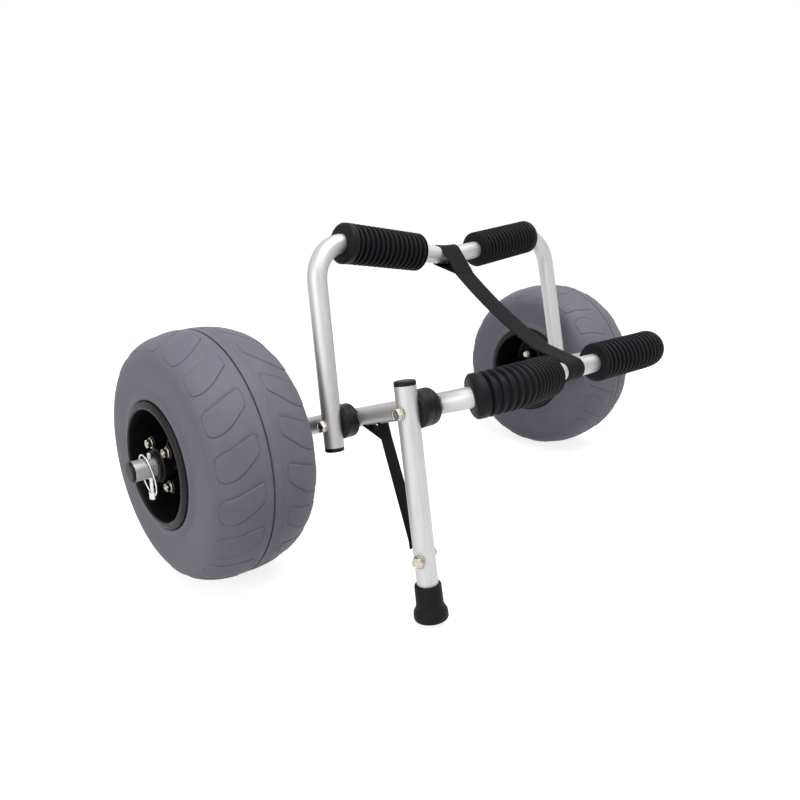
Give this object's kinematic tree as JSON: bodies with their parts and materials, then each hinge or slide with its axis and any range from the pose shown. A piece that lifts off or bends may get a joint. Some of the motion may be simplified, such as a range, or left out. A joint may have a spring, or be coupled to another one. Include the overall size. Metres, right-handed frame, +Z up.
{
  "type": "kayak cart",
  "caption": "Two-wheeled kayak cart: bent tube hoops with ribbed foam pads cradle the hull, with balloon tyres, a fold-down stand and webbing straps.",
  "frame": {"origin": "on the ground, midway across the track and midway along the cart's length", "axes": "+X to the cart's right, along the axle; +Y to its rear, where the wheels are; +Z up"},
  "size_m": [0.964, 0.4988, 0.4432],
  "materials": {
    "aluminium_tube": "satin clear anodised",
    "foam": "closed-cell foam, ribbed",
    "black_plastic": "moulded, fine grain",
    "black_rubber": "moulded, matte",
    "grey_tyre": "moulded, satin",
    "bolt_steel": "bright, machined",
    "zinc_wire": "zinc plated",
    "webbing": "woven polypropylene"
  },
  "bodies": {
    "frame": {"front_hoop": "aluminium_tube", "front_left_pad": "foam", "front_right_pad": "foam", "left_axle_plug": "black_plastic", "right_axle_plug": "black_plastic", "left_inner_saddle": "black_plastic", "right_inner_saddle": "black_plastic", "stand_inner_saddle": "black_plastic", "left_pivot_bolt": "bolt_steel", "right_pivot_bolt": "bolt_steel", "left_pivot_nut": "bolt_steel", "right_pivot_nut": "bolt_steel", "stand_bolt": "bolt_steel", "stand_nut": "bolt_steel", "left_thrust_washer": "black_plastic", "right_thrust_washer": "black_plastic", "left_axle_collar": "black_plastic", "right_axle_collar": "black_plastic", "left_lock_pin": "zinc_wire", "right_lock_pin": "zinc_wire", "strap_front_loop": "webbing", "strap_span": "webbing", "stand_strap_loop": "webbing", "stand_strap_span": "webbing"},
    "back_frame": {"back_hoop": "aluminium_tube", "back_left_pad": "foam", "back_right_pad": "foam", "left_leg_cap": "black_plastic", "right_leg_cap": "black_plastic", "left_outer_saddle": "black_plastic", "right_outer_saddle": "black_plastic", "strap_back_loop": "webbing"},
    "stand": {"stand_post": "aluminium_tube", "stand_top_cap": "black_plastic", "stand_foot": "black_rubber", "stand_outer_saddle": "black_plastic", "foot_bolt": "bolt_steel", "foot_nut": "bolt_steel", "strap_screw": "bolt_steel"},
    "left_wheel": {"left_tyre": "grey_tyre", "left_rim_outer": "black_plastic", "left_rim_inner": "black_plastic", "left_bush_outer": "black_plastic", "left_bush_inner": "black_plastic", "left_rim_bolt_1": "bolt_steel", "left_rim_bolt_2": "bolt_steel", "left_rim_bolt_3": "bolt_steel", "left_rim_bolt_4": "bolt_steel"},
    "right_wheel": {"right_tyre": "grey_tyre", "right_rim_outer": "black_plastic", "right_rim_inner": "black_plastic", "right_bush_outer": "black_plastic", "right_bush_inner": "black_plastic", "right_rim_bolt_1": "bolt_steel", "right_rim_bolt_2": "bolt_steel", "right_rim_bolt_3": "bolt_steel", "right_rim_bolt_4": "bolt_steel"},
    "left_ring": {"left_pin_ring": "zinc_wire"},
    "right_ring": {"right_pin_ring": "zinc_wire"}
  },
  "joints": [
    {"name": "back_hoop_fold", "type": "hinge", "parent": "frame", "child": "back_frame", "pos_m": [0, -0.01233, 0.19538], "axis": [1, 0, 0], "range_deg": [0, 58], "deforming": ["strap_span"]},
    {"name": "stand_fold", "type": "hinge", "parent": "frame", "child": "stand", "pos_m": [-0.2616, -0.15245, 0.245], "axis": [1, 0, 0], "range_deg": [0, 58], "deforming": ["stand_strap_span"]},
    {"name": "left_wheel_spin", "type": "hinge", "parent": "frame", "child": "left_wheel", "pos_m": [-0.3775, 0.09041, 0.15899], "axis": [1, 0, 0], "continuous": true},
    {"name": "right_wheel_spin", "type": "hinge", "parent": "frame", "child": "right_wheel", "pos_m": [0.3775, 0.09041, 0.15899], "axis": [1, 0, 0], "continuous": true},
    {"name": "left_ring_swing", "type": "hinge", "parent": "frame", "child": "left_ring", "pos_m": [-0.4555, 0.09041, 0.12299], "axis": [0, -1, 0], "range_deg": [-4, 165]},
    {"name": "right_ring_swing", "type": "hinge", "parent": "frame", "child": "right_ring", "pos_m": [0.4555, 0.09041, 0.12299], "axis": [0, 1, 0], "range_deg": [-4, 165]}
  ]
}
